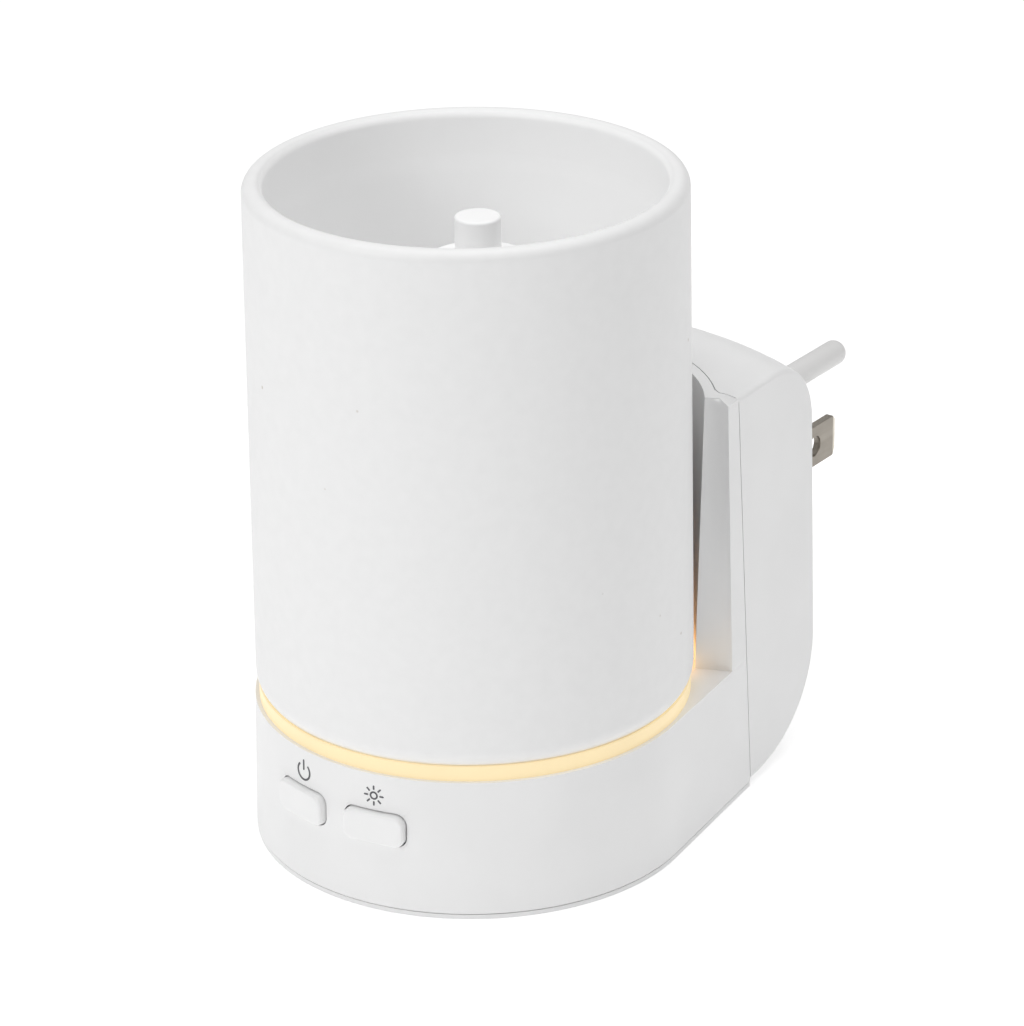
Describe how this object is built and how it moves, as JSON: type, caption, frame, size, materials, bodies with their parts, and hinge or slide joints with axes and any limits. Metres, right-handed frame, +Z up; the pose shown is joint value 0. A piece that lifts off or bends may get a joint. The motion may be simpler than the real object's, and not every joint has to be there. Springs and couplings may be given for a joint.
{
  "type": "wax melt warmer",
  "caption": "Plug-in wax melt warmer: a tall lift-off ceramic cup on a heated plate with a glowing ring, two front buttons and a rear column with mains blades.",
  "frame": {"origin": "on the cup's axis, at the underside that the warmer stands on", "axes": "+Z up, +Y towards the plug blades at the back, buttons towards -Y, +X to the right seen from the buttons"},
  "size_m": [0.0786, 0.1388, 0.1207],
  "materials": {
    "ceramic_white": "matte ceramic with a faint mottle",
    "housing_white": "fine satin moulding",
    "cover_white": "fine satin moulding",
    "button_white": "satin",
    "ring_glow": "frosted, lit warm from below",
    "plate_metal": "turned and anodised",
    "heater_ceramic": "sintered",
    "mica_sheet": "flaky sheet",
    "spring_steel": "spring temper",
    "carrier_black": "glass filled",
    "fuse_metal": "plain",
    "board_green": "solder mask",
    "led_yellow": "clear dome over phosphor",
    "switch_black": "moulded",
    "core_dark": "taped winding",
    "capacitor_sleeve": "shrunk sleeve",
    "lead_red": "silicone",
    "plug_grey": "satin",
    "blade_nickel": "nickel plated brass",
    "pin_grey": "satin",
    "screw_zinc": "zinc plated"
  },
  "bodies": {
    "housing": {"front_body": "housing_white", "rear_shell": "housing_white", "bottom_cover": "cover_white", "light_ring": "ring_glow", "heater_plate": "plate_metal", "heating_stone": "heater_ceramic", "mica_disc": "mica_sheet", "pressure_spring": "spring_steel", "heater_carrier": "carrier_black", "thermal_fuse": "fuse_metal", "led_board": "board_green", "leds": "led_yellow", "control_board": "board_green", "power_switch": "switch_black", "light_switch": "switch_black", "power_board": "board_green", "transformer": "core_dark", "capacitors": "capacitor_sleeve", "driver_chip": "switch_black", "heater_lead": "lead_red", "control_lead": "lead_red", "plug_carrier": "plug_grey", "neutral_blade": "blade_nickel", "hot_blade": "blade_nickel", "stabiliser_pin": "pin_grey", "cover_screws": "screw_zinc", "rear_screws": "screw_zinc", "board_screws": "screw_zinc"},
    "cup": {"wax_cup": "ceramic_white"},
    "power_key": {"power_button": "button_white", "power_switch_stem": "button_white"},
    "light_key": {"light_button": "button_white", "light_switch_stem": "button_white"}
  },
  "joints": [
    {"name": "cup_lift", "type": "slide", "parent": "housing", "child": "cup", "axis": [0, 0, 1], "range_m": [0, 0.06]},
    {"name": "power_press", "type": "slide", "parent": "housing", "child": "power_key", "axis": [0.2487, 0.9686, 0], "range_m": [0, 0.0004], "stiffness_N_per_m": 600},
    {"name": "light_press", "type": "slide", "parent": "housing", "child": "light_key", "axis": [-0.1582, 0.9874, 0], "range_m": [0, 0.0004], "stiffness_N_per_m": 600}
  ]
}
